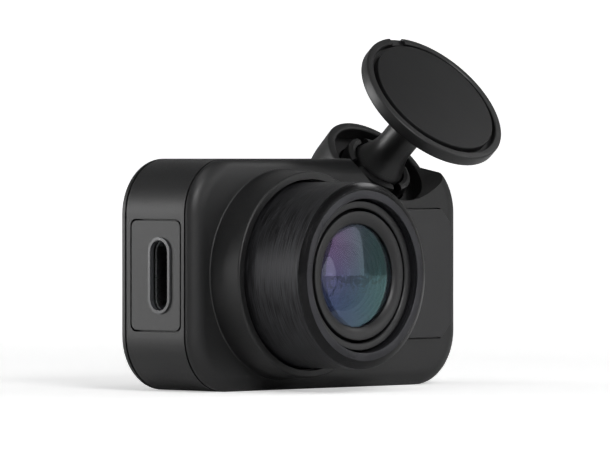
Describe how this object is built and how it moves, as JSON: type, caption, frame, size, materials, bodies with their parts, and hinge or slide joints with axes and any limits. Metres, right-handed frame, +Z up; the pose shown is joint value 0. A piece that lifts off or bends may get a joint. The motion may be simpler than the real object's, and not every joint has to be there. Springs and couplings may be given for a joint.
{
  "type": "dash camera",
  "caption": "Compact dash camera with a rounded oblong body, a long lens barrel, a side power socket and a ball-jointed round plate that sticks to a windscreen.",
  "frame": {"origin": "middle of the flat underside of the body", "axes": "+Z up, the lens looks along -Y, the power socket is in the -X end"},
  "size_m": [0.0534, 0.0296, 0.0479],
  "materials": {
    "shell_plastic": "moulded, fine satin texture",
    "port_plastic": "moulded, fine satin texture",
    "trim_plastic": "moulded, smooth satin",
    "button_plastic": "moulded, satin",
    "spun_aluminium": "black anodised, spun round the axis",
    "lens_black": "satin black",
    "coated_glass": "polished, anti-reflection coated",
    "seal_rubber": "soft matt",
    "black_aluminium": "black anodised",
    "socket_black": "matt black",
    "mount_plastic": "moulded, satin",
    "adhesive": "matt foam pad",
    "plated_steel": "tin plated",
    "screw_steel": "black zinc plated",
    "standoff_brass": "turned brass",
    "circuit_board": "solder resist",
    "chip_resin": "moulded resin",
    "card_resin": "moulded resin",
    "cell_foil": "foil pouch",
    "flex_film": "polyimide film",
    "clear_plastic": "clear, polished"
  },
  "bodies": {
    "camera": {"rear_cover": "shell_plastic", "mid_housing": "shell_plastic", "front_cover": "shell_plastic", "port_plate": "port_plastic", "trim_plate": "trim_plastic", "lens_barrel": "spun_aluminium", "lens_retainer": "lens_black", "lens_cell": "lens_black", "front_lens": "coated_glass", "second_lens": "coated_glass", "third_lens": "coated_glass", "infrared_filter": "coated_glass", "cell_seal": "seal_rubber", "lens_tube": "black_aluminium", "tube_holder": "socket_black", "claw_ring": "socket_black", "usb_shell": "plated_steel", "usb_tongue": "socket_black", "main_board": "circuit_board", "sensor_board": "circuit_board", "processor": "chip_resin", "image_sensor": "chip_resin", "shield_can": "plated_steel", "supply_cell": "cell_foil", "loudspeaker": "chip_resin", "sensor_flex": "flex_film", "card_slot": "plated_steel", "action_switch": "plated_steel", "audio_switch": "plated_steel", "microphone": "plated_steel", "light_pipe": "clear_plastic", "status_led": "clear_plastic", "screw_1": "screw_steel", "screw_2": "screw_steel", "screw_3": "screw_steel", "standoff_1": "standoff_brass", "standoff_2": "standoff_brass", "standoff_3": "standoff_brass"},
    "ball": {"mount_ball": "mount_plastic"},
    "stem": {"mount_stem": "mount_plastic"},
    "plate": {"mount_plate": "mount_plastic", "adhesive_pad": "adhesive"},
    "card": {"memory_card": "card_resin"},
    "action": {"action_button": "button_plastic"},
    "audio": {"audio_button": "button_plastic"}
  },
  "joints": [
    {"name": "mount_tilt", "type": "hinge", "parent": "camera", "child": "ball", "pos_m": [0.0156, -0.00146, 0.02987], "axis": [1, 0, 0], "range_deg": [-26, 22]},
    {"name": "mount_swing", "type": "hinge", "parent": "ball", "child": "stem", "pos_m": [0.0156, -0.00146, 0.02987], "axis": [0, 0.6626, 0.749], "range_deg": [-24, 24]},
    {"name": "mount_spin", "type": "hinge", "parent": "stem", "child": "plate", "pos_m": [0.0156, -0.00146, 0.02987], "axis": [0, -0.749, 0.6626], "continuous": true},
    {"name": "card_slide", "type": "slide", "parent": "camera", "child": "card", "axis": [1, 0, 0], "range_m": [0, 0.0138]},
    {"name": "action_press", "type": "slide", "parent": "camera", "child": "action", "axis": [0, -1, 0], "range_m": [0, 0.0004], "stiffness_N_per_m": 900},
    {"name": "audio_press", "type": "slide", "parent": "camera", "child": "audio", "axis": [0, -1, 0], "range_m": [0, 0.0004], "stiffness_N_per_m": 900}
  ]
}
